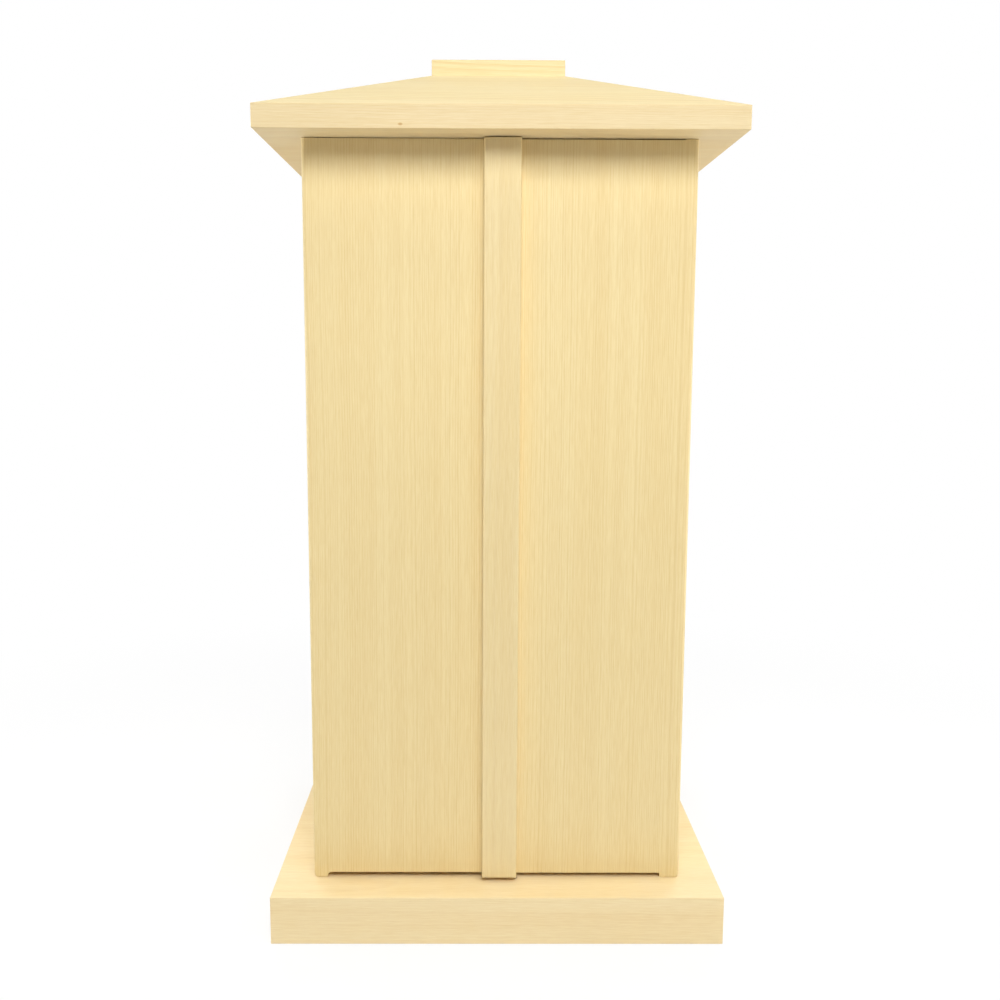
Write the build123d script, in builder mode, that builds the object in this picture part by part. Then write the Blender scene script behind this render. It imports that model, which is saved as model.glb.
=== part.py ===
from build123d import *

import os
from math import atan2, degrees, hypot

# A small shrine cabinet in plain wood, in millimetres: a board plinth, a tall
# rabbeted box closed by two flush doors that turn on hidden pivot pins, a thin
# roof board, and a low hipped roof of four mitred boards under a flat cap.
# The origin is the middle of the plinth's underside. +Z is up, the doors face -Y,
# and +X is to the right of someone who stands before them.

# Plinth and roof board share one outline
plate_width = 300.0
plate_depth = 270.0
plinth_height = 32.5
roof_board_thickness = 14.4
arris = 0.3                      # small chamfer planed along the outer edges

# How far the box stands back from the plates' edges
side_setback = 25.0
front_setback = 27.0             # plates' front to the doors' front face
rear_setback = 27.0

# The box between the plates
box_height = 490.3
side_thickness = 12.0
back_thickness = 8.0
back_rabbet = 6.0                # how far the back panel is let into each side
floor_thickness = 9.0
ceiling_thickness = 9.0
shelf_housing = 4.0              # how far floor and ceiling are let into each side

# Doors
door_thickness = 12.0
left_door_lift = 3.8             # daylight under the door, beside its heel
right_door_lift = 3.4
left_door_head_gap = 0.5         # daylight over the door, beside its stub
right_door_head_gap = 0.8
door_back_gap = 2.0              # from the closed doors to the box behind them
meeting_gap = 1.0                # between the two doors
front_edge_radius = 3.0          # hinge side, front
meeting_chamfer = 0.4

# Heels and stubs carry the doors where the pivot pins enter
left_heel_width = 9.4
right_heel_width = 13.2
left_heel_root_radius = 2.6      # hollow worked at the inner end of the left heel
right_heel_root_radius = 0.5     # the right heel ends almost square
heel_corner_radius = 2.2
stub_width = 9.0
shoulder_gap = 0.3               # running gap between heel or stub and its plate

# Pivot pins
pivot_pin_radius = 2.5
pivot_running_gap = 0.05
pin_depth_in_door = 16.0
pin_depth_in_plinth = 14.0
pin_depth_in_roof_board = 8.0
pin_end_gap = 0.3
pin_chamfer = 0.5

# Cover strip over the meeting edges, fixed to the right door
strip_width = 23.5
strip_overlap = 9.7              # how far it laps the left door
strip_thickness = 6.7
strip_relief = 0.5               # running gap behind the lapping half
strip_edge_radius = 0.9

# Hipped roof
roof_run = 103.85                # level distance from eave to cap
roof_rise = 42.2
slope_thickness = 8.0
cap_height = 10.7

# Levels
plinth_top = plinth_height
roof_underside = plinth_top + box_height
roof_board_top = roof_underside + roof_board_thickness
cap_seat = roof_board_top + roof_rise
left_door_bottom = plinth_top + left_door_lift
right_door_bottom = plinth_top + right_door_lift
left_door_top = roof_underside - left_door_head_gap
right_door_top = roof_underside - right_door_head_gap
heel_bottom = plinth_top + shoulder_gap
stub_top = roof_underside - shoulder_gap

# Planes seen from above
box_half_width = plate_width / 2 - side_setback
door_front = front_setback - plate_depth / 2
door_back = door_front + door_thickness
box_front = door_back + door_back_gap
box_back = plate_depth / 2 - rear_setback
back_panel_front = box_back - back_thickness
box_inner_half_width = box_half_width - side_thickness
strip_left = -meeting_gap / 2 - strip_overlap
strip_right = strip_left + strip_width
strip_front = door_front - strip_thickness

# The pivot axes stand half a door's thickness inside its hinge edge and front face
pivot_inset = door_thickness / 2
pivot_x = box_half_width - pivot_inset
pivot_y = door_front + pivot_inset
pivot_axes = ((-pivot_x, pivot_y), (pivot_x, pivot_y))
bore_radius = pivot_pin_radius + pivot_running_gap

# The roof boards are cut level at both ends, so each seats on this width
slope_seat = slope_thickness * hypot(roof_run, roof_rise) / roof_rise
roof_pitch = degrees(atan2(roof_rise, roof_run))
cap_width = plate_width - 2 * roof_run
cap_depth = plate_depth - 2 * roof_run

os.makedirs("parts", exist_ok=True)


def door(hand, bottom, top, heel_width, heel_root_radius):
    """One flush door. Hand is -1 for the left and 1 for the right.

    Bottom and top are the levels of its long edges. The front outline, with heel
    and stub, and the plan section, rounded at the hinge edge, are both extruded,
    and the door is what they share.
    """
    outer_x = hand * box_half_width
    meeting_x = hand * meeting_gap / 2
    heel_x = outer_x - hand * heel_width
    stub_x = outer_x - hand * stub_width
    with BuildPart() as leaf:
        with BuildSketch(Plane.XZ.offset(-door_back)) as outline:
            with BuildLine():
                Polyline(
                    (outer_x, heel_bottom),
                    (heel_x, heel_bottom),
                    (heel_x, bottom),
                    (meeting_x, bottom),
                    (meeting_x, top),
                    (stub_x, top),
                    (stub_x, stub_top),
                    (outer_x, stub_top),
                    close=True,
                )
            make_face()
            fillet(outline.vertices().sort_by_distance((outer_x, heel_bottom))[0], heel_corner_radius)
            fillet(outline.vertices().sort_by_distance((heel_x, bottom))[0], heel_root_radius)
        extrude(amount=door_thickness)
        with BuildSketch(Plane.XY.offset(heel_bottom)) as section:
            with BuildLine():
                Polyline(
                    (outer_x, door_front),
                    (meeting_x, door_front),
                    (meeting_x, door_back),
                    (outer_x, door_back),
                    close=True,
                )
            make_face()
            fillet(section.vertices().sort_by_distance((outer_x, door_front))[0], front_edge_radius)
            fillet(section.vertices().sort_by_distance((outer_x, door_back))[0], pivot_inset)
            chamfer(section.vertices().sort_by_distance((meeting_x, door_front))[0], meeting_chamfer)
            chamfer(section.vertices().sort_by_distance((meeting_x, door_back))[0], meeting_chamfer)
        extrude(amount=stub_top - heel_bottom, mode=Mode.INTERSECT)
        for level, depth in ((heel_bottom, pin_depth_in_door), (stub_top, -pin_depth_in_door)):
            with BuildSketch(Plane.XY.offset(level)):
                with Locations((hand * pivot_x, pivot_y)):
                    Circle(pivot_pin_radius)
            extrude(amount=depth, mode=Mode.SUBTRACT)
    return leaf


def pivot_pin(hand, low, high):
    """One wooden pivot pin between two levels, chamfered at both ends."""
    with BuildPart() as pin:
        with BuildSketch(Plane.XY.offset(low)):
            with Locations((hand * pivot_x, pivot_y)):
                Circle(pivot_pin_radius)
        extrude(amount=high - low)
        chamfer(pin.edges().filter_by(GeomType.CIRCLE), pin_chamfer)
    return pin


def roof_slope(facing, eave_distance, eave_length):
    """One mitred roof board. Facing is the turn about Z of its outward side.

    The section is a leaning board with both ends cut level. It is drawn across
    the slope, run along the eave, and mitred on the two hips.
    """
    outward = Vector(1, 0, 0).rotate(Axis.Z, facing)
    along = Vector(0, 0, 1).cross(outward)
    seat = Vector(0, 0, roof_board_top)
    cap_distance = eave_distance - roof_run
    with BuildPart() as board:
        with BuildSketch(Plane(origin=seat, x_dir=outward, z_dir=outward.cross(Vector(0, 0, 1)))):
            with BuildLine():
                Polyline(
                    (eave_distance, 0),
                    (cap_distance, roof_rise),
                    (cap_distance - slope_seat, roof_rise),
                    (eave_distance - slope_seat, 0),
                    close=True,
                )
            make_face()
        extrude(amount=eave_length / 2, both=True)
        for end in (-1, 1):
            corner = seat + outward * eave_distance + along * (end * eave_length / 2)
            hip_side = outward - along * end
            split(bisect_by=Plane(origin=corner, z_dir=hip_side), keep=Keep.TOP)
        split(bisect_by=Plane(origin=seat, z_dir=outward), keep=Keep.TOP)
    return board


# Plinth: one thick board that the box stands on, bored for the lower pins
with BuildPart() as plinth:
    with BuildSketch():
        Rectangle(plate_width, plate_depth)
    extrude(amount=plinth_height)
    chamfer(plinth.edges(), arris)
    with BuildSketch(Plane.XY.offset(plinth_top)):
        with Locations(*pivot_axes):
            Circle(bore_radius)
    extrude(amount=-pin_depth_in_plinth - pin_end_gap, mode=Mode.SUBTRACT)
plinth.part.label = "plinth"
export_step(plinth.part, "parts/plinth.step")

# Sides: rabbeted at the rear for the back panel, housed for floor and ceiling
for side_name, hand in (("left_side_panel", -1), ("right_side_panel", 1)):
    with BuildPart() as side_panel:
        with BuildSketch(Plane.XY.offset(plinth_top)) as side_section:
            with BuildLine():
                Polyline(
                    (hand * box_half_width, box_front),
                    (hand * box_half_width, box_back),
                    (hand * (box_inner_half_width + back_rabbet), box_back),
                    (hand * (box_inner_half_width + back_rabbet), back_panel_front),
                    (hand * box_inner_half_width, back_panel_front),
                    (hand * box_inner_half_width, box_front),
                    close=True,
                )
            make_face()
            for corner_y in (box_front, box_back):
                corner = (hand * box_half_width, corner_y)
                chamfer(side_section.vertices().sort_by_distance(corner)[0], arris)
        extrude(amount=box_height)
        for level, rise in ((plinth_top, floor_thickness), (roof_underside, -ceiling_thickness)):
            with BuildSketch(Plane.XY.offset(level)):
                with BuildLine():
                    Polyline(
                        (hand * box_inner_half_width, box_front),
                        (hand * (box_inner_half_width + shelf_housing), box_front),
                        (hand * (box_inner_half_width + shelf_housing), back_panel_front),
                        (hand * box_inner_half_width, back_panel_front),
                        close=True,
                    )
                make_face()
            extrude(amount=rise, mode=Mode.SUBTRACT)
    side_panel.part.label = side_name
    export_step(side_panel.part, f"parts/{side_name}.step")

# Back: one panel in the sides' rabbets, from plinth to roof board
back_panel_middle = (back_panel_front + box_back) / 2
with BuildPart() as back_panel:
    with BuildSketch(Plane.XY.offset(plinth_top)):
        with Locations((0, back_panel_middle)):
            Rectangle(2 * (box_inner_half_width + back_rabbet), back_thickness)
    extrude(amount=box_height)
back_panel.part.label = "back_panel"
export_step(back_panel.part, "parts/back_panel.step")

# Floor and ceiling boards: they close the box and stop the doors at foot and head
shelf_depth = back_panel_front - box_front
shelf_middle = (back_panel_front + box_front) / 2
shelf_width = 2 * (box_inner_half_width + shelf_housing)
with BuildPart() as floor_board:
    with BuildSketch(Plane.XY.offset(plinth_top)):
        with Locations((0, shelf_middle)):
            Rectangle(shelf_width, shelf_depth)
    extrude(amount=floor_thickness)
floor_board.part.label = "floor_board"
export_step(floor_board.part, "parts/floor_board.step")

with BuildPart() as ceiling_board:
    with BuildSketch(Plane.XY.offset(roof_underside)):
        with Locations((0, shelf_middle)):
            Rectangle(shelf_width, shelf_depth)
    extrude(amount=-ceiling_thickness)
ceiling_board.part.label = "ceiling_board"
export_step(ceiling_board.part, "parts/ceiling_board.step")

# Roof board: the plinth's outline again, bored from below for the upper pins
with BuildPart() as roof_board:
    with BuildSketch(Plane.XY.offset(roof_underside)):
        Rectangle(plate_width, plate_depth)
    extrude(amount=roof_board_thickness)
    chamfer(roof_board.faces().sort_by(Axis.Z)[0].edges(), arris)
    with BuildSketch(Plane.XY.offset(roof_underside)):
        with Locations(*pivot_axes):
            Circle(bore_radius)
    extrude(amount=pin_depth_in_roof_board + pin_end_gap, mode=Mode.SUBTRACT)
roof_board.part.label = "roof_board"
export_step(roof_board.part, "parts/roof_board.step")

# Hipped roof: four boards of one pitch, mitred on the hips, hollow below
for slope_name, facing, eave_distance, eave_length in (
    ("front_roof_slope", -90, plate_depth / 2, plate_width),
    ("back_roof_slope", 90, plate_depth / 2, plate_width),
    ("left_roof_slope", 180, plate_width / 2, plate_depth),
    ("right_roof_slope", 0, plate_width / 2, plate_depth),
):
    slope = roof_slope(facing, eave_distance, eave_length)
    slope.part.label = slope_name
    export_step(slope.part, f"parts/{slope_name}.step")

# Cap: a flat block that covers the open top of the four boards
with BuildPart() as cap_block:
    with BuildSketch(Plane.XY.offset(cap_seat)):
        Rectangle(cap_width, cap_depth)
    extrude(amount=cap_height)
    chamfer(cap_block.edges().filter_by(Axis.Z), arris)
    chamfer(cap_block.faces().sort_by(Axis.Z)[-1].edges(), arris)
cap_block.part.label = "cap_block"
export_step(cap_block.part, "parts/cap_block.step")

# Doors
left_door = door(-1, left_door_bottom, left_door_top, left_heel_width, left_heel_root_radius)
left_door.part.label = "left_door"
export_step(left_door.part, "parts/left_door.step")

right_door = door(1, right_door_bottom, right_door_top, right_heel_width, right_heel_root_radius)
right_door.part.label = "right_door"
export_step(right_door.part, "parts/right_door.step")

# Pivot pins: fast in the doors, turning in the plinth and the roof board
for door_name, hand in (("left", -1), ("right", 1)):
    lower_pin = pivot_pin(hand, plinth_top - pin_depth_in_plinth, heel_bottom + pin_depth_in_door)
    lower_pin.part.label = f"{door_name}_lower_pivot_pin"
    export_step(lower_pin.part, f"parts/{door_name}_lower_pivot_pin.step")
    upper_pin = pivot_pin(hand, stub_top - pin_depth_in_door, roof_underside + pin_depth_in_roof_board)
    upper_pin.part.label = f"{door_name}_upper_pivot_pin"
    export_step(upper_pin.part, f"parts/{door_name}_upper_pivot_pin.step")

# Cover strip: glued to the right door, relieved behind where it laps the left one
with BuildPart() as cover_strip:
    with BuildSketch(Plane.XY.offset(right_door_bottom)) as strip_section:
        with BuildLine():
            Polyline(
                (strip_right, strip_front),
                (strip_left, strip_front),
                (strip_left, door_front - strip_relief),
                (meeting_gap / 2, door_front - strip_relief),
                (meeting_gap / 2, door_front),
                (strip_right, door_front),
                close=True,
            )
        make_face()
        fillet(strip_section.vertices().group_by(Axis.Y)[0], strip_edge_radius)
    extrude(amount=right_door_top - right_door_bottom)
cover_strip.part.label = "cover_strip"
export_step(cover_strip.part, "parts/cover_strip.step")

print(f"Roof pitch {roof_pitch:.2f} degrees, slope seat {slope_seat:.2f} mm")
print(f"Cap {cap_width:.2f} by {cap_depth:.2f} mm, total height {cap_seat + cap_height:.2f} mm")
print(f"Pivot axes at x {pivot_x:.2f} and {-pivot_x:.2f}, y {pivot_y:.2f} mm")
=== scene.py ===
"""Dresses a small plain-wood shrine cabinet: bare planed boards, pegs, floor, lamps, camera."""

import logging
import math
from dataclasses import dataclass, field
from enum import Enum

import bpy
from mathutils import Matrix, Vector


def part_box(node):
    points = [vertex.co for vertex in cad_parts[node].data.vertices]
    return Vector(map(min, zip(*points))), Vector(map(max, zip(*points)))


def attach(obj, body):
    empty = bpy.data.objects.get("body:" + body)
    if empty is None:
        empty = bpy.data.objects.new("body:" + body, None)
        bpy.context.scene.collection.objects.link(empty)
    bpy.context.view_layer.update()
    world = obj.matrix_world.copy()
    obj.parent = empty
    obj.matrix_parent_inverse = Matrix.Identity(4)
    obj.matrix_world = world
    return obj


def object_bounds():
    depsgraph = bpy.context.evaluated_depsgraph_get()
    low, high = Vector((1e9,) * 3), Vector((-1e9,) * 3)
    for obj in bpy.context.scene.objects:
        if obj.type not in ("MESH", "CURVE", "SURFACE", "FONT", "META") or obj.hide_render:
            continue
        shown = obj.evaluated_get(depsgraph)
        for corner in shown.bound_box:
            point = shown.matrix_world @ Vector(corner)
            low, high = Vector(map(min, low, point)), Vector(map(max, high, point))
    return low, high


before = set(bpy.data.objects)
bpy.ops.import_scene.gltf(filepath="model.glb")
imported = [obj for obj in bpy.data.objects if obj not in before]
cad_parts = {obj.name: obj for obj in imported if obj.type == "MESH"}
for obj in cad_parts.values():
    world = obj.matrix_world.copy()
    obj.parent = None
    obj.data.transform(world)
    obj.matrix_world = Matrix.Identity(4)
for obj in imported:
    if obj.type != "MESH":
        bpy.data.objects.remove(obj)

LOG = logging.getLogger("shrine_cabinet")
CAD_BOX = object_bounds()
MM = 0.001            # metres in a millimetre
NOISE_MIDDLE = 0.5    # what a noise texture gives on average

Colour = tuple[float, float, float]
Point = tuple[float, float, float]
Socket = bpy.types.NodeSocket
Sockets = bpy.types.bpy_prop_collection


def srgb(red: int, green: int, blue: int) -> Colour:
    """Turns a display colour into linear values, by the sRGB standard's curve.

    Args:
        red: Red from 0 to 255.
        green: Green from 0 to 255.
        blue: Blue from 0 to 255.

    Returns:
        The same colour in linear light, each channel from 0 to 1.
    """
    def linear(value: int) -> float:
        """Gives the linear light of one display channel."""
        share = value / 255
        return share / 12.92 if share <= 0.04045 else ((share + 0.055) / 1.055) ** 2.4

    return linear(red), linear(green), linear(blue)


class GrainAxis(Enum):
    """The way that a board's grain runs, with the turn in degrees that lays a log along it."""

    ALONG_X = (0.0, 0.0, 0.0)
    ALONG_Y = (0.0, 0.0, 90.0)
    ALONG_Z = (0.0, -90.0, 0.0)

    @property
    def direction(self) -> Point:
        """Unit vector along the grain."""
        return {"ALONG_X": (1, 0, 0), "ALONG_Y": (0, 1, 0), "ALONG_Z": (0, 0, 1)}[self.name]


class NodeSheet:
    """A short hand for placing and joining nodes in one node tree."""

    def __init__(self, tree: bpy.types.NodeTree) -> None:
        """Keeps the tree that the nodes go into.

        Args:
            tree: The tree.
        """
        self.tree = tree

    def add(self, kind: str, **settings: object) -> bpy.types.Node:
        """Adds a node.

        Args:
            kind: Blender's name of the node type.
            **settings: Properties to set on the node.

        Returns:
            The new node.
        """
        node = self.tree.nodes.new(kind)
        for name, value in settings.items():
            setattr(node, name, value)
        return node

    def feed(self, socket: Socket, value: object) -> None:
        """Links a socket to another one, or sets its constant.

        Args:
            socket: The input to fill.
            value: A socket to link from, or a constant.
        """
        if isinstance(value, Socket):
            self.tree.links.new(value, socket)
        else:
            socket.default_value = value

    def fill(self, node: bpy.types.Node, **values: object) -> bpy.types.Node:
        """Fills several inputs of a node.

        Args:
            node: The node.
            **values: One value or socket for each input, its spaces written as _.

        Returns:
            The node.
        """
        for label, value in values.items():
            self.feed(node.inputs[label.replace("_", " ")], value)
        return node

    def math(self, operation: str, *values: object, clamp: bool = False) -> Socket:
        """Adds a Math node.

        Args:
            operation: The node's operation.
            *values: Its inputs, as sockets or numbers.
            clamp: Whether the result is kept from 0 to 1.

        Returns:
            The result's socket.
        """
        node = self.add("ShaderNodeMath", operation=operation, use_clamp=clamp)
        for socket, value in zip(node.inputs, values):
            self.feed(socket, value)
        return node.outputs[0]

    def vector(self, operation: str, *values: object) -> bpy.types.Node:
        """Adds a Vector Math node.

        Args:
            operation: The node's operation.
            *values: Its inputs, as sockets or vectors, in order.

        Returns:
            The node, whose outputs are Vector and Value.
        """
        node = self.add("ShaderNodeVectorMath", operation=operation)
        for socket, value in zip(node.inputs, values):
            self.feed(socket, value)
        return node

    def ramp(self, value: object, low: float, high: float, start: float = 0.0, end: float = 1.0) -> Socket:
        """Adds a smooth Map Range from low..high to start..end.

        Args:
            value: The socket that is mapped.
            low: Input that gives start.
            high: Input that gives end.
            start: Output at low.
            end: Output at high.

        Returns:
            The result's socket.
        """
        node = self.add("ShaderNodeMapRange", interpolation_type="SMOOTHSTEP")
        self.fill(node, From_Min=low, From_Max=high, To_Min=start, To_Max=end, Value=value)
        return node.outputs["Result"]

    def noise(self, vector: object, detail: float = 2.0, roughness: float = 0.5) -> Socket:
        """Adds a Noise Texture with a scale of one.

        Args:
            vector: Where it is read.
            detail: Number of finer layers.
            roughness: Strength of the finer layers.

        Returns:
            Its value, NOISE_MIDDLE on average.
        """
        node = self.add("ShaderNodeTexNoise")
        self.fill(node, Vector=vector, Scale=1.0, Detail=detail, Roughness=roughness)
        return node.outputs["Fac"]

    def mix(self, factor: object, first: object, second: object, blend: str = "MIX") -> Socket:
        """Adds a colour Mix node.

        Args:
            factor: Share of the second colour.
            first: First colour or socket.
            second: Second colour or socket.
            blend: How the two are combined.

        Returns:
            The mixed colour's socket.
        """
        node = self.add("ShaderNodeMix", data_type="RGBA", blend_type=blend)
        for identifier, value in (("Factor_Float", factor), ("A_Color", first), ("B_Color", second)):
            socket = next(one for one in node.inputs if one.identifier == identifier)
            self.feed(socket, (*value, 1.0) if isinstance(value, tuple) else value)
        return next(one for one in node.outputs if one.identifier == "Result_Color")


class EffectGroup:
    """A shader node group with named inputs and outputs, built once and shared.

    Attributes:
        name: Name of the group.
        inputs: Label, socket type and default of each input. A vector's default isn't used.
        outputs: Label and socket type of each output.
    """

    name = ""
    inputs: tuple[tuple[str, str, float], ...] = ()
    outputs: tuple[tuple[str, str], ...] = ()

    def tree(self) -> bpy.types.NodeTree:
        """Builds the group on its first use.

        Returns:
            The group's node tree.
        """
        found = bpy.data.node_groups.get(self.name)
        if found:
            return found
        made = bpy.data.node_groups.new(self.name, "ShaderNodeTree")
        for label, kind, value in self.inputs:
            socket = made.interface.new_socket(label, in_out="INPUT", socket_type=kind)
            if kind == "NodeSocketFloat":
                socket.default_value = value
        for label, kind in self.outputs:
            made.interface.new_socket(label, in_out="OUTPUT", socket_type=kind)
        sheet = NodeSheet(made)
        entry = sheet.add("NodeGroupInput")
        leave = sheet.add("NodeGroupOutput")
        for label, value in self.build(sheet, entry.outputs).items():
            sheet.feed(leave.inputs[label], value)
        return made

    def build(self, sheet: NodeSheet, given: Sockets) -> dict[str, Socket]:
        """Lays the group's nodes.

        Args:
            sheet: The group's node sheet.
            given: The group's inputs, by name.

        Returns:
            What each output shows.
        """
        raise NotImplementedError

    def place(self, sheet: NodeSheet, **values: object) -> Sockets:
        """Places the group in a material with its own values.

        Args:
            sheet: The material's node sheet.
            **values: One value or socket for each input, its spaces written as _.

        Returns:
            The placed node's outputs.
        """
        return sheet.fill(sheet.add("ShaderNodeGroup", node_tree=self.tree()), **values).outputs


class GrowthRings(EffectGroup):
    """Year rings of a log whose pith runs along X: dark late wood and the tone of each year.

    Attributes:
        sway_rate: Rate of the log's slow bends along and across it, per millimetre.
        sway_gain: Size of the slow bends, in wanders.
        shiver_rate: Rate of its quick bends.
        shiver_gain: Size of the quick bends, in wanders.
        pace_rate: Rate of the changes in growth, per year.
        pace_gain: How far that moves the rings, in years.
        late_start: Share of a year at which the late wood begins.
        late_peak: Share of a year at which it is darkest.
        faintest_year: Late wood's strength in the faintest year.
        tone_rate: Rate of the years' tones, per millimetre.
    """

    name = "growth_rings"
    inputs = (
        ("Log Point", "NodeSocketVector", 0.0),
        ("Ring Spacing", "NodeSocketFloat", 1.9),
        ("Wander", "NodeSocketFloat", 2.0),
        ("Seed", "NodeSocketFloat", 0.0),
    )
    outputs = (("Late Wood", "NodeSocketFloat"), ("Year Tone", "NodeSocketFloat"))
    sway_rate = (0.0045, 0.022, 0.022)
    sway_gain = 4.0
    shiver_rate = (0.016, 0.19, 0.19)
    shiver_gain = 0.22
    pace_rate = 0.11
    pace_gain = 6.0
    late_start = 0.35
    late_peak = 0.9
    faintest_year = 0.35
    tone_rate = (0.002, 0.09, 0.09)

    def build(self, sheet: NodeSheet, given: Sockets) -> dict[str, Socket]:
        """Lays the nodes. Point, spacing and wander are in millimetres.

        Args:
            sheet: The group's node sheet.
            given: The group's inputs, by name.

        Returns:
            What each output shows.
        """
        point = given["Log Point"]
        split = sheet.add("ShaderNodeSeparateXYZ")
        sheet.feed(split.inputs[0], point)
        slow = sheet.vector("MULTIPLY", point, self.sway_rate).outputs[0]
        quick = sheet.vector("MULTIPLY", point, self.shiver_rate).outputs[0]
        sway = sheet.math("SUBTRACT", sheet.noise(slow, detail=1.5), NOISE_MIDDLE)
        shiver = sheet.math("SUBTRACT", sheet.noise(quick, detail=1.0), NOISE_MIDDLE)
        across = sheet.math("MULTIPLY", split.outputs["Y"], split.outputs["Y"])
        up = sheet.math("MULTIPLY", split.outputs["Z"], split.outputs["Z"])
        radius = sheet.math("SQRT", sheet.math("ADD", across, up))
        for bend, gain in ((sway, self.sway_gain), (shiver, self.shiver_gain)):
            radius = sheet.math("MULTIPLY_ADD", bend, sheet.math("MULTIPLY", given["Wander"], gain), radius)
        years = sheet.math("DIVIDE", radius, given["Ring Spacing"])
        pace = sheet.add("ShaderNodeTexNoise", noise_dimensions="1D")
        sheet.fill(pace, W=sheet.math("MULTIPLY_ADD", years, self.pace_rate, given["Seed"]), Scale=1.0)
        drift = sheet.math("SUBTRACT", pace.outputs["Fac"], NOISE_MIDDLE)
        years = sheet.math("MULTIPLY_ADD", drift, self.pace_gain, years)
        season = sheet.math("FRACT", years)
        white = sheet.add("ShaderNodeTexWhiteNoise", noise_dimensions="1D")
        sheet.feed(white.inputs["W"], sheet.math("ADD", sheet.math("FLOOR", years), given["Seed"]))
        rise = sheet.ramp(season, self.late_start, self.late_peak)
        fall = sheet.ramp(season, self.late_peak, 1.0, start=1.0, end=0.0)
        least = self.faintest_year
        weight = sheet.math("MULTIPLY_ADD", white.outputs["Value"], 1 - least, least)
        late = sheet.math("MULTIPLY", sheet.math("MULTIPLY", rise, fall), weight)
        tone = sheet.noise(sheet.vector("MULTIPLY", point, self.tone_rate).outputs[0])
        return {"Late Wood": late, "Year Tone": tone}


class WoodFibres(EffectGroup):
    """Fine fibres and broader streaks that run along the grain.

    Attributes:
        streak_stretch: Length of a streak, in streak widths.
        contrast: Noise values that give zero and one.
    """

    name = "wood_fibres"
    inputs = (
        ("Log Point", "NodeSocketVector", 0.0),
        ("Fibre Width", "NodeSocketFloat", 0.45),
        ("Fibre Length", "NodeSocketFloat", 13.0),
        ("Streak Width", "NodeSocketFloat", 11.0),
    )
    outputs = (("Fibre", "NodeSocketFloat"), ("Streak", "NodeSocketFloat"))
    streak_stretch = 30.0
    contrast = (0.3, 0.7)

    def build(self, sheet: NodeSheet, given: Sockets) -> dict[str, Socket]:
        """Lays the nodes. The point and all widths are in millimetres.

        Args:
            sheet: The group's node sheet.
            given: The group's inputs, by name.

        Returns:
            What each output shows.
        """
        def stretched(length: object, width: object) -> Socket:
            """Divides the point by a length along the grain and a width across it."""
            shape = sheet.fill(sheet.add("ShaderNodeCombineXYZ"), X=length, Y=width, Z=width)
            return sheet.vector("DIVIDE", given["Log Point"], shape.outputs[0]).outputs[0]

        fine = sheet.noise(stretched(given["Fibre Length"], given["Fibre Width"]), detail=2.5, roughness=0.6)
        long_streak = sheet.math("MULTIPLY", given["Streak Width"], self.streak_stretch)
        broad = sheet.noise(stretched(long_streak, given["Streak Width"]), roughness=0.55)
        return {"Fibre": sheet.ramp(fine, *self.contrast), "Streak": sheet.ramp(broad, *self.contrast)}


class EndGrain(EffectGroup):
    """Where a face cuts across the grain, with the pores that show there.

    Attributes:
        end_range: Cosines between face and grain that give zero and one.
        pore_rate: Rate of the pores along and across the grain, per millimetre.
        pore_range: Noise values that give zero and one.
    """

    name = "end_grain"
    inputs = (
        ("Face Normal", "NodeSocketVector", 0.0),
        ("Grain Direction", "NodeSocketVector", 0.0),
        ("Log Point", "NodeSocketVector", 0.0),
    )
    outputs = (("End Face", "NodeSocketFloat"), ("Pores", "NodeSocketFloat"))
    end_range = (0.55, 0.9)
    pore_rate = (1.5, 3.5, 3.5)
    pore_range = (0.4, 0.68)

    def build(self, sheet: NodeSheet, given: Sockets) -> dict[str, Socket]:
        """Lays the nodes. The point is in millimetres.

        Args:
            sheet: The group's node sheet.
            given: The group's inputs, by name.

        Returns:
            What each output shows.
        """
        along = sheet.vector("DOT_PRODUCT", given["Face Normal"], given["Grain Direction"]).outputs["Value"]
        face = sheet.ramp(sheet.math("ABSOLUTE", along), *self.end_range)
        place = sheet.vector("MULTIPLY", given["Log Point"], self.pore_rate).outputs[0]
        specks = sheet.noise(place, detail=3.0, roughness=0.7)
        return {"End Face": face, "Pores": sheet.ramp(specks, *self.pore_range)}


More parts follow.
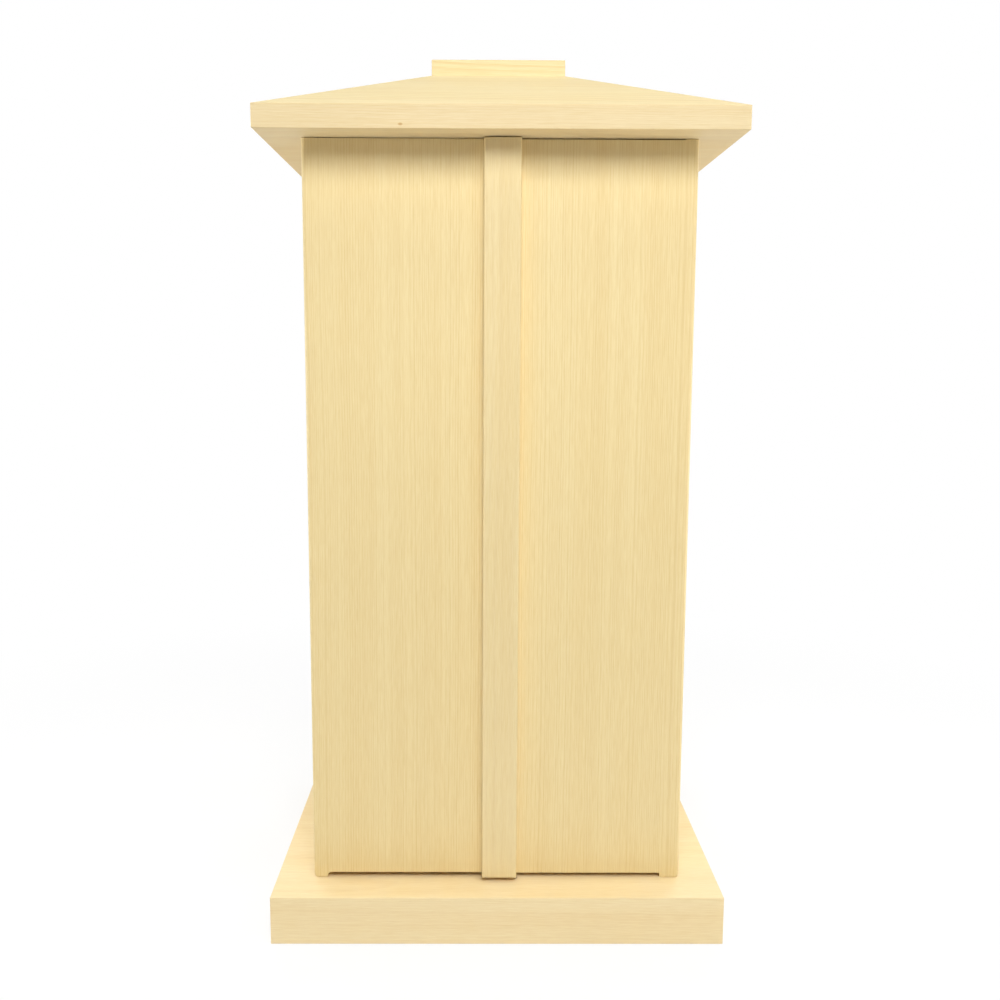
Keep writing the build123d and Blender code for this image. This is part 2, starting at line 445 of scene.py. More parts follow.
class BoardEdges(EffectGroup):
    """Handled edges: how near a point is to the nearest arris of a board's box.

    Attributes:
        ragged_rate: Rate of the worn edge's width, per millimetre.
        ragged_gain: How much it changes, in widths.
        least_reach: Its least width, in widths.
        dent_rate: Rate of the dents, per millimetre.
        dent_range: Noise values that give zero and one.
    """

    name = "board_edges"
    inputs = (
        ("Point", "NodeSocketVector", 0.0),
        ("Middle", "NodeSocketVector", 0.0),
        ("Half Size", "NodeSocketVector", 0.0),
        ("Width", "NodeSocketFloat", 1.2),
    )
    outputs = (("Edge", "NodeSocketFloat"), ("Dents", "NodeSocketFloat"))
    ragged_rate = (0.12, 0.12, 0.12)
    ragged_gain = 1.8
    least_reach = 0.1
    dent_rate = (0.35, 0.35, 0.35)
    dent_range = (0.62, 0.75)

    def build(self, sheet: NodeSheet, given: Sockets) -> dict[str, Socket]:
        """Lays the nodes. All lengths are in millimetres.

        Args:
            sheet: The group's node sheet.
            given: The group's inputs, by name.

        Returns:
            What each output shows.
        """
        away = sheet.vector("SUBTRACT", given["Point"], given["Middle"]).outputs[0]
        inside = sheet.vector("SUBTRACT", given["Half Size"], sheet.vector("ABSOLUTE", away).outputs[0])
        depth = sheet.add("ShaderNodeSeparateXYZ")
        sheet.feed(depth.inputs[0], inside.outputs[0])
        first, second, third = depth.outputs
        low = sheet.math("MINIMUM", first, second)
        high = sheet.math("MAXIMUM", first, second)
        second_nearest = sheet.math("MAXIMUM", low, sheet.math("MINIMUM", high, third))
        place = sheet.vector("MULTIPLY", given["Point"], self.ragged_rate).outputs[0]
        ragged = sheet.noise(place, detail=3.0, roughness=0.6)
        width = sheet.math("MULTIPLY_ADD", ragged, self.ragged_gain, self.least_reach)
        reach = sheet.math("MULTIPLY", given["Width"], width)
        share = sheet.math("DIVIDE", second_nearest, reach)
        edge = sheet.ramp(share, 0.0, 1.0, start=1.0, end=0.0)
        dent = sheet.noise(sheet.vector("MULTIPLY", given["Point"], self.dent_rate).outputs[0], detail=1.0)
        return {"Edge": edge, "Dents": sheet.math("MULTIPLY", edge, sheet.ramp(dent, *self.dent_range))}


class SurfaceDust(EffectGroup):
    """A faint film that dulls upward faces and the uneven polish that planing leaves.

    Attributes:
        film_rate: Rate of the film, per millimetre.
        film_range: Noise values that give zero and one.
        upward_range: Upward parts of the face's normal that give zero and one.
        polish_rate: Rate of the polish, per millimetre.
    """

    name = "surface_dust"
    inputs = (("Point", "NodeSocketVector", 0.0), ("Face Normal", "NodeSocketVector", 0.0))
    outputs = (("Dust", "NodeSocketFloat"), ("Polish", "NodeSocketFloat"))
    film_rate = (0.05, 0.05, 0.05)
    film_range = (0.35, 0.8)
    upward_range = (0.2, 1.0)
    polish_rate = (0.013, 0.013, 0.013)

    def build(self, sheet: NodeSheet, given: Sockets) -> dict[str, Socket]:
        """Lays the nodes. The point is in millimetres.

        Args:
            sheet: The group's node sheet.
            given: The group's inputs, by name.

        Returns:
            What each output shows.
        """
        up = sheet.vector("DOT_PRODUCT", given["Face Normal"], (0.0, 0.0, 1.0)).outputs["Value"]
        place = sheet.vector("MULTIPLY", given["Point"], self.film_rate).outputs[0]
        film = sheet.noise(place, detail=4.0, roughness=0.65)
        polish = sheet.noise(sheet.vector("MULTIPLY", given["Point"], self.polish_rate).outputs[0])
        upward = sheet.ramp(up, *self.upward_range)
        return {"Dust": sheet.math("MULTIPLY", upward, sheet.ramp(film, *self.film_range)), "Polish": polish}


class PinKnot(EffectGroup):
    """One tiny dark knot at a given place.

    Attributes:
        squash: Stretch of the distance along each axis.
        heart: Share of the radius that is fully dark.
    """

    name = "pin_knot"
    inputs = (
        ("Point", "NodeSocketVector", 0.0),
        ("Centre", "NodeSocketVector", 0.0),
        ("Radius", "NodeSocketFloat", 1.0),
    )
    outputs = (("Knot", "NodeSocketFloat"),)
    squash = (0.7, 1.0, 1.2)
    heart = 0.35

    def build(self, sheet: NodeSheet, given: Sockets) -> dict[str, Socket]:
        """Lays the nodes. All lengths are in millimetres.

        Args:
            sheet: The group's node sheet.
            given: The group's inputs, by name.

        Returns:
            What each output shows.
        """
        away = sheet.vector("SUBTRACT", given["Point"], given["Centre"]).outputs[0]
        squat = sheet.vector("MULTIPLY", away, self.squash).outputs[0]
        gap = sheet.vector("LENGTH", squat).outputs["Value"]
        share = sheet.math("DIVIDE", gap, given["Radius"])
        return {"Knot": sheet.ramp(share, self.heart, 1.0, start=1.0, end=0.0)}


@dataclass(frozen=True)
class BoardCut:
    """How one board lay in its log.

    Attributes:
        grain: The way that the grain runs.
        pith: A point of the log's pith, in millimetres from the board's middle.
        lean: Small turn of the pith against the board, in degrees about X, Y and Z.
        seed: Picks other rings for each board.
        knot: Place of a tiny knot in the part's frame, in millimetres, or none.
    """

    grain: GrainAxis
    pith: Point
    lean: Point = (0.0, 0.0, 0.0)
    seed: float = 0.0
    knot: Point | None = None


@dataclass(frozen=True)
class Tint:
    """A colour that an effect brings in.

    Attributes:
        colour: The colour.
        strength: Its share where the effect is full.
    """

    colour: Colour
    strength: float


YEAR_COLOUR = srgb(244, 226, 190)
STREAK_COLOUR = srgb(247, 240, 225)
KNOT_COLOUR = srgb(196, 158, 102)
FIBRE_TINT = Tint(srgb(240, 230, 206), 0.42)
PORE_TINT = Tint(srgb(206, 170, 116), 0.4)
END_RING_TINT = Tint(srgb(196, 157, 104), 0.6)
EDGE_TINT = Tint(srgb(240, 214, 160), 0.22)
DUST_TINT = Tint(srgb(240, 236, 226), 0.1)
QUIET_YEAR = 0.25     # year tones up to this leave the wood as it is
KNOT_RADIUS = 1.3     # millimetres
WOOD_IOR = 1.46
SPECULAR_LEVEL = 0.42

# What each effect adds to the roughness where it is full
LATE_ROUGHNESS = -0.07
POLISH_ROUGHNESS = 0.16
END_ROUGHNESS = 0.2
EDGE_ROUGHNESS = -0.08
DUST_ROUGHNESS = 0.12

# Heights against the late wood's, for the relief
FIBRE_HEIGHT = 0.45
PORE_HEIGHT = -1.2
DENT_HEIGHT = -2.0
BUMP_STRENGTH = 0.7


@dataclass(frozen=True)
class WoodFinish:
    """Bare planed softwood of one selection.

    Attributes:
        slot: The record's material slot.
        early: Colour of the early wood.
        late: Colour of the late wood.
        end: Colour of the end grain.
        ring_spacing: Distance between years, in millimetres.
        wander: How far the rings stray, in millimetres.
        ring_strength: Strength of the late wood in the colour.
        streak_strength: Strength of the broad streaks in the colour.
        roughness: Roughness of the planed face.
        relief: Depth of the grain relief, in millimetres.
    """

    slot: str
    early: Colour = srgb(233, 217, 171)
    late: Colour = srgb(221, 202, 150)
    end: Colour = srgb(221, 193, 142)
    ring_spacing: float = 1.9
    wander: float = 2.0
    ring_strength: float = 0.85
    streak_strength: float = 0.3
    roughness: float = 0.56
    relief: float = 0.035

    def material(self, name: str, low: Vector, high: Vector, cut: BoardCut) -> bpy.types.Material:
        """Makes the material of one board.

        Args:
            name: The material's name.
            low: Lowest corner of the board, in metres.
            high: Highest corner of the board, in metres.
            cut: How the board lay in its log.

        Returns:
            The material.
        """
        made = bpy.data.materials.new(name)
        made.use_nodes = True
        sheet = NodeSheet(made.node_tree)
        shader = made.node_tree.nodes["Principled BSDF"]
        middle = (low + high) / (2 * MM)
        half = (high - low) / (2 * MM)
        place = sheet.add("ShaderNodeTexCoord")
        point = sheet.vector("SCALE", place.outputs["Object"])
        point.inputs["Scale"].default_value = 1 / MM
        log_point = self.log_point(sheet, point.outputs[0], middle, cut)
        face = place.outputs["Normal"]
        rings = GrowthRings().place(sheet, Log_Point=log_point, Ring_Spacing=self.ring_spacing,
                                    Wander=self.wander, Seed=cut.seed)
        fibres = WoodFibres().place(sheet, Log_Point=log_point)
        ends = EndGrain().place(sheet, Face_Normal=face, Grain_Direction=cut.grain.direction,
                                Log_Point=log_point)
        edges = BoardEdges().place(sheet, Point=point.outputs[0], Middle=tuple(middle),
                                   Half_Size=tuple(half))
        film = SurfaceDust().place(sheet, Point=point.outputs[0], Face_Normal=face)
        colour = self.colour(sheet, rings, fibres, ends, edges, film)
        if cut.knot:
            spot = PinKnot().place(sheet, Point=point.outputs[0], Centre=cut.knot, Radius=KNOT_RADIUS)
            colour = sheet.mix(spot["Knot"], colour, KNOT_COLOUR)
        sheet.fill(shader, Base_Color=colour, Roughness=self.gloss(sheet, rings, ends, edges, film),
                   Normal=self.relief_normal(sheet, rings, fibres, ends, edges),
                   IOR=WOOD_IOR, Specular_IOR_Level=SPECULAR_LEVEL)
        return made

    @staticmethod
    def log_point(sheet: NodeSheet, point: Socket, middle: Vector, cut: BoardCut) -> Socket:
        """Turns a point of the part into the frame of the board's log.

        Args:
            sheet: The material's node sheet.
            point: The point, in millimetres.
            middle: Middle of the board, in millimetres.
            cut: How the board lay in its log.

        Returns:
            The point with the pith along X through the origin.
        """
        turn = [math.radians(a + b) for a, b in zip(cut.grain.value, cut.lean)]
        mapping = sheet.add("ShaderNodeMapping", vector_type="TEXTURE")
        sheet.fill(mapping, Vector=point, Location=middle + Vector(cut.pith), Rotation=turn)
        return mapping.outputs["Vector"]

    def colour(self, sheet: NodeSheet, rings: Sockets, fibres: Sockets, ends: Sockets,
               edges: Sockets, film: Sockets) -> Socket:
        """Mixes the board's colour from its effects.

        Args:
            sheet: The material's node sheet.
            rings: Outputs of the growth rings.
            fibres: Outputs of the fibres.
            ends: Outputs of the end grain.
            edges: Outputs of the board's edges.
            film: Outputs of the surface film.

        Returns:
            The colour's socket.
        """
        late = sheet.math("MULTIPLY", rings["Late Wood"], self.ring_strength)
        wood = sheet.mix(late, self.early, self.late)
        year = sheet.math("MULTIPLY_ADD", rings["Year Tone"], self.streak_strength,
                          -self.streak_strength * QUIET_YEAR, clamp=True)
        wood = sheet.mix(year, wood, sheet.mix(1.0, wood, YEAR_COLOUR, "MULTIPLY"))
        streak = sheet.math("MULTIPLY", fibres["Streak"], self.streak_strength)
        wood = sheet.mix(streak, wood, sheet.mix(1.0, wood, STREAK_COLOUR, "MULTIPLY"))
        fibre = sheet.math("MULTIPLY", fibres["Fibre"], FIBRE_TINT.strength)
        wood = sheet.mix(fibre, wood, sheet.mix(1.0, wood, FIBRE_TINT.colour, "MULTIPLY"))

        def tinted(effect: Socket, base: object, tint: Tint) -> Socket:
            """Mixes a tint into a base colour by an effect's mask."""
            return sheet.mix(sheet.math("MULTIPLY", effect, tint.strength), base, tint.colour)

        cross = tinted(ends["Pores"], self.end, PORE_TINT)
        cross = tinted(rings["Late Wood"], cross, END_RING_TINT)
        wood = sheet.mix(ends["End Face"], wood, cross)
        wood = tinted(edges["Edge"], wood, EDGE_TINT)
        return tinted(film["Dust"], wood, DUST_TINT)

    def gloss(self, sheet: NodeSheet, rings: Sockets, ends: Sockets, edges: Sockets,
              film: Sockets) -> Socket:
        """Works out the roughness.

        Args:
            sheet: The material's node sheet.
            rings: Outputs of the growth rings.
            ends: Outputs of the end grain.
            edges: Outputs of the board's edges.
            film: Outputs of the surface film.

        Returns:
            The roughness socket.
        """
        rough = sheet.math("MULTIPLY_ADD", rings["Late Wood"], LATE_ROUGHNESS, self.roughness)
        polish = sheet.math("SUBTRACT", film["Polish"], NOISE_MIDDLE)
        rough = sheet.math("MULTIPLY_ADD", polish, POLISH_ROUGHNESS, rough)
        rough = sheet.math("MULTIPLY_ADD", ends["End Face"], END_ROUGHNESS, rough)
        rough = sheet.math("MULTIPLY_ADD", edges["Edge"], EDGE_ROUGHNESS, rough)
        return sheet.math("MULTIPLY_ADD", film["Dust"], DUST_ROUGHNESS, rough, clamp=True)

    def relief_normal(self, sheet: NodeSheet, rings: Sockets, fibres: Sockets, ends: Sockets,
                      edges: Sockets) -> Socket:
        """Raises the late wood and the fibres a little, and sinks pores and dents.

        Args:
            sheet: The material's node sheet.
            rings: Outputs of the growth rings.
            fibres: Outputs of the fibres.
            ends: Outputs of the end grain.
            edges: Outputs of the board's edges.

        Returns:
            The normal's socket.
        """
        height = sheet.math("MULTIPLY_ADD", fibres["Fibre"], FIBRE_HEIGHT, rings["Late Wood"])
        pores = sheet.math("MULTIPLY", ends["Pores"], ends["End Face"])
        height = sheet.math("MULTIPLY_ADD", pores, PORE_HEIGHT, height)
        height = sheet.math("MULTIPLY_ADD", edges["Dents"], DENT_HEIGHT, height)
        bump = sheet.add("ShaderNodeBump")
        sheet.fill(bump, Strength=BUMP_STRENGTH, Distance=self.relief * MM, Height=height)
        return bump.outputs["Normal"]


# The roof board and the plinth are one wood, plate_wood. The plinth's copy is painted lighter than the roof
# board's: painted light standing in for the light on its faces.
ROOF_BOARD = WoodFinish("plate_wood", early=srgb(228, 211, 171), late=srgb(219, 198, 153), ring_spacing=2.0,
                        wander=2.6, ring_strength=0.42)
PLINTH_PAINTED_LIGHTER = WoodFinish("plate_wood", early=srgb(242, 224, 181), late=srgb(234, 212, 165), ring_spacing=2.0,
                    wander=2.6, ring_strength=0.42)
BOX = WoodFinish("box_wood")
INNER = WoodFinish("inner_wood", ring_spacing=2.2)
ROOF = WoodFinish("roof_wood", ring_spacing=2.1, wander=2.6, ring_strength=0.8)
DOOR = WoodFinish("door_wood", early=srgb(239, 220, 169), late=srgb(228, 204, 146), ring_spacing=1.55,
                  wander=1.1, ring_strength=0.66, streak_strength=0.2)
STRIP = WoodFinish("strip_wood", early=srgb(236, 218, 170), late=srgb(228, 206, 157), ring_spacing=2.2,
                   wander=1.6, ring_strength=0.5)
PIN = WoodFinish("pin_wood", early=srgb(214, 184, 134), late=srgb(186, 147, 96), ring_spacing=1.2, wander=0.5)


def dress(node: str, finish: WoodFinish, cut: BoardCut) -> None:
    """Gives a CAD node its finish.

    Args:
        node: The node's name.
        finish: The wood it is made of.
        cut: How the board lay in its log.
    """
    low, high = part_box(node)
    material = finish.material(f"{node}_{finish.slot}", low, high, cut)
    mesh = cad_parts[node].data
    if mesh.materials:
        mesh.materials[0] = material
    else:
        mesh.materials.append(material)
    LOG.info("%s dressed in %s", node, finish.slot)


@dataclass
class Plates:
    """The two boards that share one outline: the plinth and the roof board. They are one wood, and the
    plinth's copy of it is painted lighter, as painted light.

    Attributes:
        plinth_cut: How the plinth lay in its log.
        roof_board_cut: How the roof board lay in its log, with its knot.
    """

    plinth_cut: BoardCut = BoardCut(GrainAxis.ALONG_X, (0.0, -115.0, -104.0), (0.0, 0.35, 0.8), 3.0)
    roof_board_cut: BoardCut = BoardCut(
        GrainAxis.ALONG_X, (0.0, -95.0, -140.0), (0.0, -0.2, 0.5), 11.0, knot=(-60.6, -135.0, 525.3))

    def build(self) -> None:
        """Dresses both boards."""
        # The plinth takes the copy of plate_wood that is painted lighter, as painted light.
        dress("plinth", PLINTH_PAINTED_LIGHTER, self.plinth_cut)
        dress("roof_board", ROOF_BOARD, self.roof_board_cut)


@dataclass
class Box:
    """The tall box behind the doors and its pegs. Lengths are in millimetres.

    Attributes:
        pith_distance: From a board's middle to the pith.
        peg_radius: Radius of a peg.
        peg_proud: How far a peg stands out.
        peg_inset: From the panel's edge to the pegs.
        peg_spacing: Wanted distance between pegs.
        end_margin: From the panel's ends to the nearest peg.
    """

    pith_distance: float = 190.0
    peg_radius: float = 1.5
    peg_proud: float = 0.35
    peg_inset: float = 3.0
    peg_spacing: float = 58.0
    end_margin: float = 26.0

    def build(self) -> None:
        """Dresses the five boards and sets the pegs."""
        far = self.pith_distance
        dress("left_side_panel", BOX, BoardCut(GrainAxis.ALONG_Z, (18.0, far, 0.0), (0.3, 0.2, 0.0), 21.0))
        dress("right_side_panel", BOX, BoardCut(GrainAxis.ALONG_Z, (-22.0, far, 0.0), (-0.2, 0.3, 0.0), 34.0))
        dress("back_panel", BOX, BoardCut(GrainAxis.ALONG_Z, (far, 24.0, 0.0), (0.2, -0.3, 0.0), 47.0))
        dress("floor_board", INNER, BoardCut(GrainAxis.ALONG_X, (0.0, far, 30.0), (0.0, 0.6, 0.3), 52.0))
        dress("ceiling_board", INNER, BoardCut(GrainAxis.ALONG_X, (0.0, far, -30.0), (0.0, 0.4, -0.3), 68.0))
        self.back_pegs()

    def back_pegs(self) -> None:
        """Sets rows of small wooden pegs along both edges of the back panel."""
        low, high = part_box("back_panel")
        inset = self.peg_inset * MM
        margin = self.end_margin * MM
        pegs = PegRows(
            name="back_panel_pegs",
            corner=Vector((low.x + inset, high.y, low.z + margin)),
            width=high.x - low.x - 2 * inset,
            height=high.z - low.z - 2 * margin,
            spacing=self.peg_spacing * MM,
            radius=self.peg_radius * MM,
            proud=self.peg_proud * MM,
        )
        piece = pegs.build()
        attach(piece, "cabinet")
        LOG.info("%s set", piece.name)


@dataclass
class PegRows:
    """Two upright rows of domed peg heads, made with geometry nodes.

    Attributes:
        name: Name of the piece.
        corner: Foot of the left row, in metres.
        width: Distance between the rows.
        height: Height of the rows.
        spacing: Wanted distance between pegs.
        radius: Radius of a peg head.
        proud: How far a head stands out of the panel.
        seed: Picks the small turns of the pegs.
        cut: How the pegs lay in their log.
    """

    name: str
    corner: Vector
    width: float
    height: float
    spacing: float
    radius: float
    proud: float
    seed: int = 7
    cut: BoardCut = BoardCut(GrainAxis.ALONG_Y, (0.0, 0.0, 40.0), seed=5.0)

    def settings(self) -> dict[str, float]:
        """Gives the values of the tree's inputs.

        Returns:
            Each value by its input's name.
        """
        return {"Width": self.width, "Height": self.height, "Spacing": self.spacing,
                "Radius": self.radius, "Proud": self.proud, "Seed": self.seed}

    def tree(self, material: bpy.types.Material) -> bpy.types.NodeTree:
        """Builds the geometry node tree.

        Args:
            material: Finish of the pegs.

        Returns:
            The tree.
        """
        made = bpy.data.node_groups.new("peg_rows", "GeometryNodeTree")
        made.interface.new_socket("Geometry", in_out="INPUT", socket_type="NodeSocketGeometry")
        for label, value in self.settings().items():
            kind = "NodeSocketInt" if isinstance(value, int) else "NodeSocketFloat"
            made.interface.new_socket(label, in_out="INPUT", socket_type=kind)
        made.interface.new_socket("Geometry", in_out="OUTPUT", socket_type="NodeSocketGeometry")
        sheet = NodeSheet(made)
        given = sheet.add("NodeGroupInput").outputs
        leave = sheet.add("NodeGroupOutput")
        rows = sheet.add("GeometryNodeMeshGrid")
        gaps = sheet.math("ROUND", sheet.math("DIVIDE", given["Height"], given["Spacing"]))
        count = sheet.math("ADD", gaps, 1.0)
        sheet.fill(rows, Size_X=given["Width"], Size_Y=given["Height"], Vertices_X=2, Vertices_Y=count)
        head = sheet.fill(sheet.add("GeometryNodeMeshUVSphere"), Segments=20, Rings=10, Radius=1.0)
        shape = sheet.fill(sheet.add("ShaderNodeCombineXYZ"), X=given["Radius"], Y=given["Radius"],
                           Z=given["Proud"])
        turn = sheet.add("FunctionNodeRandomValue", data_type="FLOAT_VECTOR")
        vectors = [one for one in turn.inputs if one.type == "VECTOR"]
        sheet.feed(vectors[0], (0.0, 0.0, 0.0))
        sheet.feed(vectors[1], (0.0, 0.0, math.tau))
        sheet.feed(turn.inputs["Seed"], given["Seed"])
        placed = sheet.add("GeometryNodeInstanceOnPoints")
        sheet.fill(placed, Points=rows.outputs["Mesh"], Instance=head.outputs["Mesh"],
                   Rotation=turn.outputs[0], Scale=shape.outputs[0])
        real = sheet.add("GeometryNodeRealizeInstances")
        sheet.feed(real.inputs[0], placed.outputs[0])
        painted = sheet.add("GeometryNodeSetMaterial")
        sheet.feed(painted.inputs["Geometry"], real.outputs[0])
        painted.inputs["Material"].default_value = material
        sheet.feed(leave.inputs[0], painted.outputs[0])
        return made

    def build(self) -> bpy.types.Object:
        """Makes the pegs as one plain mesh in the part's frame.

        Returns:
            The finished piece.
        """
        centre = self.corner + Vector((self.width / 2, 0.0, self.height / 2))
        spread = Vector((self.width / 2, self.radius, self.height / 2))
        material = PIN.material(f"{self.name}_{PIN.slot}", centre - spread, centre + spread, self.cut)
        carrier = bpy.data.objects.new(f"{self.name}_carrier", bpy.data.meshes.new(f"{self.name}_carrier"))
        bpy.context.scene.collection.objects.link(carrier)
        modifier = carrier.modifiers.new("rows", "NODES")
        modifier.node_group = self.tree(material)
        values = self.settings()
        for item in modifier.node_group.interface.items_tree:
            if item.in_out == "INPUT" and item.name in values:
                modifier[item.identifier] = values[item.name]
        bpy.context.view_layer.update()
        evaluated = carrier.evaluated_get(bpy.context.evaluated_depsgraph_get())
        mesh = bpy.data.meshes.new_from_object(evaluated)
        bpy.data.objects.remove(carrier)
        mesh.transform(Matrix.Translation(centre) @ Matrix.Rotation(math.radians(90), 4, "X"))
        for polygon in mesh.polygons:
            polygon.use_smooth = True
        piece = bpy.data.objects.new(self.name, mesh)
        bpy.context.scene.collection.objects.link(piece)
        return piece


@dataclass
class Roof:
    """Four mitred roof boards and the cap. Each board's grain follows its own eave.

    Attributes:
        cuts: How each piece lay in its log, by node.
    """

    cuts: dict[str, BoardCut] = field(default_factory=lambda: {
        "front_roof_slope": BoardCut(GrainAxis.ALONG_X, (0.0, -40.0, -150.0), (0.0, 1.4, 0.4), 71.0),
        "back_roof_slope": BoardCut(GrainAxis.ALONG_X, (0.0, 60.0, -140.0), (0.0, -1.0, 0.6), 83.0),
        "left_roof_slope": BoardCut(GrainAxis.ALONG_Y, (-50.0, 0.0, -150.0), (1.2, 0.0, 0.5), 97.0),
        "right_roof_slope": BoardCut(GrainAxis.ALONG_Y, (55.0, 0.0, -145.0), (-1.1, 0.0, 0.4), 101.0),
        "cap_block": BoardCut(GrainAxis.ALONG_X, (0.0, 60.0, -70.0), (0.0, 1.0, 0.0), 117.0),
    })

    def build(self) -> None:
        """Dresses the roof's pieces."""
        for node, cut in self.cuts.items():
            dress(node, ROOF, cut)


@dataclass
class Doors:
    """Two flush doors of straight-grained wood, the cover strip and the pivot pins.

    Attributes:
        left_cut: How the left door lay in its log.
        right_cut: How the right door lay in its log.
        strip_cut: How the cover strip lay in its log.
        pin_pith: The pins' pith, in millimetres from the pin.
        pin_seed: Picks the left pins' rings. The right ones take the next.
    """

    left_cut: BoardCut = BoardCut(GrainAxis.ALONG_Z, (-205.0, 26.0, 0.0), (0.15, 0.1, 0.0), 131.0)
    right_cut: BoardCut = BoardCut(GrainAxis.ALONG_Z, (190.0, 30.0, 0.0), (-0.1, 0.15, 0.0), 149.0)
    strip_cut: BoardCut = BoardCut(GrainAxis.ALONG_Z, (36.0, 58.0, 0.0), (0.4, 0.35, 0.0), 151.0)
    pin_pith: Point = (14.0, 9.0, 0.0)
    pin_seed: float = 160.0

    def build(self) -> None:
        """Dresses the doors' pieces."""
        dress("left_door", DOOR, self.left_cut)
        dress("right_door", DOOR, self.right_cut)
        dress("cover_strip", STRIP, self.strip_cut)
        for number, side in enumerate(("left", "right")):
            for level in ("lower", "upper"):
                cut = BoardCut(GrainAxis.ALONG_Z, self.pin_pith, seed=self.pin_seed + number)
                dress(f"{side}_{level}_pivot_pin", PIN, cut)


@dataclass(frozen=True)
class SoftLamp:
    """One soft box that faces the top of the doors.

    Attributes:
        name: Name of the lamp.
        azimuth: Degrees from the front, positive to the right.
        elevation: Degrees over the horizon.
        distance: Metres from the aim.
        width: Level side, in metres.
        height: Other side, in metres.
        power: Power, in watts.
    """

    name: str
    azimuth: float
    elevation: float
    distance: float
    width: float
    height: float
    power: float

    def build(self, aim: Vector) -> None:
        """Places the lamp.

        Args:
            aim: The point that it faces.
        """
        turn, rise = math.radians(self.azimuth), math.radians(self.elevation)
        away = Vector((math.sin(turn) * math.cos(rise), -math.cos(turn) * math.cos(rise), math.sin(rise)))
        data = bpy.data.lights.new(self.name, "AREA")
        data.shape = "RECTANGLE"
        data.size = self.width
        data.size_y = self.height
        data.energy = self.power
        lamp = bpy.data.objects.new(self.name, data)
        lamp.location = aim + away * self.distance
        lamp.rotation_euler = away.to_track_quat("Z", "Y").to_euler()
        bpy.context.scene.collection.objects.link(lamp)


def seen_directly(sheet: NodeSheet) -> Socket:
    """Tells the rays that show the background from those by which it lights.

    Args:
        sheet: Sheet of a material or the world.

    Returns:
        One for camera, glossy and transmission rays, else zero.
    """
    rays = sheet.add("ShaderNodeLightPath").outputs
    mirrored = sheet.math("MAXIMUM", rays["Is Glossy Ray"], rays["Is Transmission Ray"])
    return sheet.math("MAXIMUM", rays["Is Camera Ray"], mirrored)


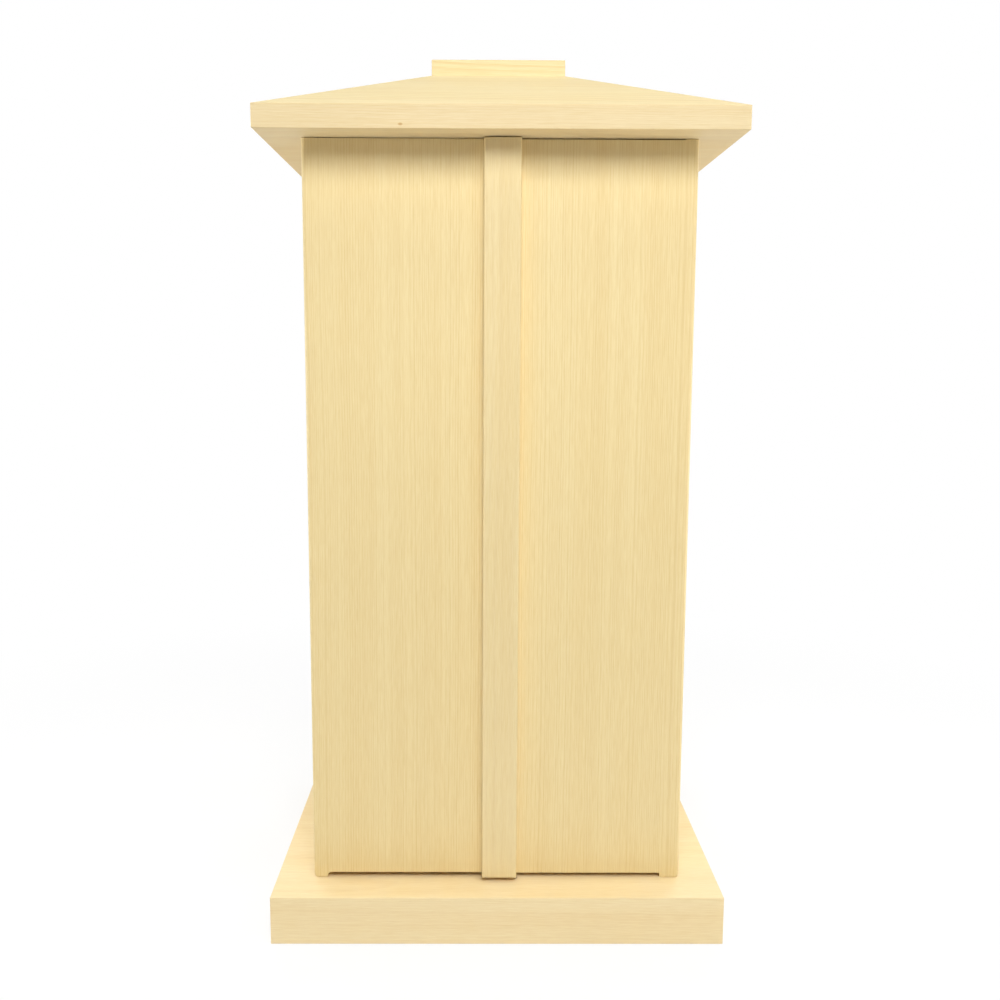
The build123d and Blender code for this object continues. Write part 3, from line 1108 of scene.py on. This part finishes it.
@dataclass
class Studio:
    """Pale seamless floor, soft lamps and a plain world. Lengths are in metres.

    Attributes:
        aim: The point that the lamps face.
        front_reach: How far the floor runs to the front.
        side_reach: How far it runs to each side.
        wall_distance: How far back it starts to bend up.
        bend_radius: Radius of the bend.
        wall_height: Top of the backdrop.
        bend_steps: Faces along the bend.
        lamps: The lamps, their values in SoftLamp's order.
        world_strength: Strength of the world as a light. The camera sees it at one.
        cloth_glow: Share of plain white in the cloth's look beside the plinth.
        shadow_reach: Distance from which the cloth is plain white.
        cloth_tones: Reflectance of the cloth beside the plinth and far out.
    """

    aim: Vector = field(default_factory=lambda: Vector((0.0, -0.1, 0.5)))
    front_reach: float = 0.95
    side_reach: float = 1.6
    wall_distance: float = 1.6
    bend_radius: float = 0.9
    wall_height: float = 3.4
    bend_steps: int = 24
    lamps: tuple[SoftLamp, ...] = (
        SoftLamp("key_lamp", 0.0, 34.0, 1.1, 0.46, 0.575, 10.1),
        SoftLamp("key_wing", 38.0, 31.0, 1.25, 0.55, 0.35, 3.6),
        SoftLamp("low_lamp", 0.0, 8.0, 1.25, 0.8, 0.6, 1.2),
        SoftLamp("high_lamp", 0.0, 75.0, 1.5, 1.0, 0.3, 6.5),
        SoftLamp("left_side_lamp", -98.0, -9.0, 0.9, 0.5, 0.2, 3.6),
        SoftLamp("right_side_lamp", 97.0, -14.0, 0.9, 0.5, 0.2, 3.5),
        SoftLamp("left_back_lamp", -150.0, 15.0, 1.3, 0.6, 0.4, 5.8),
        SoftLamp("right_back_lamp", 150.0, 15.0, 1.3, 0.6, 0.4, 5.8),
    )
    world_strength: float = 0.03
    cloth_glow: float = 0.8
    shadow_reach: float = 0.6
    cloth_tones: tuple[float, float] = (0.95, 0.75)

    def build(self) -> None:
        """Sets the floor, the lamps and the world."""
        self.floor()
        for lamp in self.lamps:
            lamp.build(self.aim)
        self.world()
        bpy.context.scene.view_settings.view_transform = "Standard"

    def floor(self) -> None:
        """Makes the floor, which bends up into a backdrop far behind."""
        profile = [(-self.front_reach, 0.0), (self.wall_distance, 0.0)]
        for step in range(1, self.bend_steps + 1):
            turn = math.radians(90) * step / self.bend_steps
            profile.append((self.wall_distance + self.bend_radius * math.sin(turn),
                            self.bend_radius * (1 - math.cos(turn))))
        profile.append((self.wall_distance + self.bend_radius, self.wall_height))
        vertices = [(side * self.side_reach, y, z) for y, z in profile for side in (-1, 1)]
        faces = [(2 * i, 2 * i + 1, 2 * i + 3, 2 * i + 2) for i in range(len(profile) - 1)]
        mesh = bpy.data.meshes.new("floor")
        mesh.from_pydata(vertices, [], faces)
        for polygon in mesh.polygons:
            polygon.use_smooth = True
        mesh.materials.append(self.floor_material())
        floor = bpy.data.objects.new("floor", mesh)
        bpy.context.scene.collection.objects.link(floor)

    def floor_material(self) -> bpy.types.Material:
        """Makes white cloth that shows white far off and takes a soft shadow near the plinth.

        Returns:
            The material.
        """
        made = bpy.data.materials.new("white_cloth")
        made.use_nodes = True
        sheet = NodeSheet(made.node_tree)
        made.node_tree.nodes.clear()
        place = sheet.add("ShaderNodeTexCoord").outputs["Object"]
        beyond = sheet.vector("SUBTRACT", sheet.vector("ABSOLUTE", place).outputs[0], tuple(CAD_BOX[1]))
        outside = sheet.vector("MAXIMUM", beyond.outputs[0], (0.0, 0.0, 0.0)).outputs[0]
        away = sheet.vector("LENGTH", outside).outputs["Value"]
        glow_share = sheet.ramp(away, 0.0, self.shadow_reach, self.cloth_glow, 1.0)
        cloth = sheet.add("ShaderNodeBsdfDiffuse")
        sheet.feed(cloth.inputs["Color"], sheet.ramp(away, 0.0, self.shadow_reach, *self.cloth_tones))
        glow = sheet.add("ShaderNodeEmission")
        glow.inputs["Strength"].default_value = 1.0
        share = sheet.math("MULTIPLY", seen_directly(sheet), glow_share)
        blend = sheet.add("ShaderNodeMixShader")
        sheet.feed(blend.inputs[0], share)
        sheet.feed(blend.inputs[1], cloth.outputs[0])
        sheet.feed(blend.inputs[2], glow.outputs[0])
        leave = sheet.add("ShaderNodeOutputMaterial")
        sheet.feed(leave.inputs["Surface"], blend.outputs[0])
        return made

    def world(self) -> None:
        """Sets a plain world, white to the camera and dimmer as a light."""
        world = bpy.data.worlds.new("studio")
        bpy.context.scene.world = world
        world.use_nodes = True
        sheet = NodeSheet(world.node_tree)
        back = world.node_tree.nodes["Background"]
        back.inputs["Color"].default_value = (1.0, 1.0, 1.0, 1.0)
        level = self.world_strength
        strength = sheet.math("MULTIPLY_ADD", seen_directly(sheet), 1.0 - level, level)
        sheet.feed(back.inputs["Strength"], strength)


@dataclass(frozen=True)
class PhotoCamera:
    """The photograph's camera, fitted to the straight edges of the plates and doors.

    Attributes:
        place: Camera position in the part's frame, in millimetres.
        yaw: Turn to the right, in radians.
        pitch: Tilt downwards, in radians.
        roll: Roll, in radians.
        focal_pixels: Focal length, in pixels of the photograph.
        centre_x: Column of the optical axis.
        centre_y: Row of the optical axis.
        image_pixels: Side of the square photograph.
        sensor_width: Width that the focal length is stated for, in millimetres.
        clip_end: How far the camera sees, in metres.
    """

    place: Point = (-13.59, -772.96, 391.40)
    yaw: float = 0.0050
    pitch: float = 0.1283
    roll: float = -0.0033
    focal_pixels: float = 1028.18
    centre_x: float = 482.85
    centre_y: float = 482.41
    image_pixels: float = 1000.0
    sensor_width: float = 36.0
    clip_end: float = 50.0

    def build(self) -> None:
        """Creates the camera and makes it the scene's."""
        data = bpy.data.cameras.new("camera")
        data.sensor_width = self.sensor_width
        data.lens = self.focal_pixels / self.image_pixels * self.sensor_width
        data.shift_x = 0.5 - self.centre_x / self.image_pixels
        data.shift_y = self.centre_y / self.image_pixels - 0.5
        data.clip_end = self.clip_end
        forward = Vector((math.sin(self.yaw) * math.cos(self.pitch),
                          math.cos(self.yaw) * math.cos(self.pitch),
                          -math.sin(self.pitch)))
        level = Vector((math.cos(self.yaw), -math.sin(self.yaw), 0.0))
        down = forward.cross(level)
        right = math.cos(self.roll) * level + math.sin(self.roll) * down
        down = -math.sin(self.roll) * level + math.cos(self.roll) * down
        camera = bpy.data.objects.new("camera", data)
        turn = Matrix((right, -down, -forward)).transposed().to_4x4()
        camera.matrix_world = Matrix.Translation(Vector(self.place) * MM) @ turn
        bpy.context.scene.collection.objects.link(camera)
        bpy.context.scene.camera = camera


def main() -> None:
    """Builds the looks around the frame, in order."""
    logging.basicConfig(level=logging.INFO, format="%(name)s: %(message)s")
    for part in (Plates(), Box(), Roof(), Doors(), Studio(), PhotoCamera()):
        part.build()
        LOG.info("%s built", type(part).__name__)


if __name__ == "__main__":
    main()
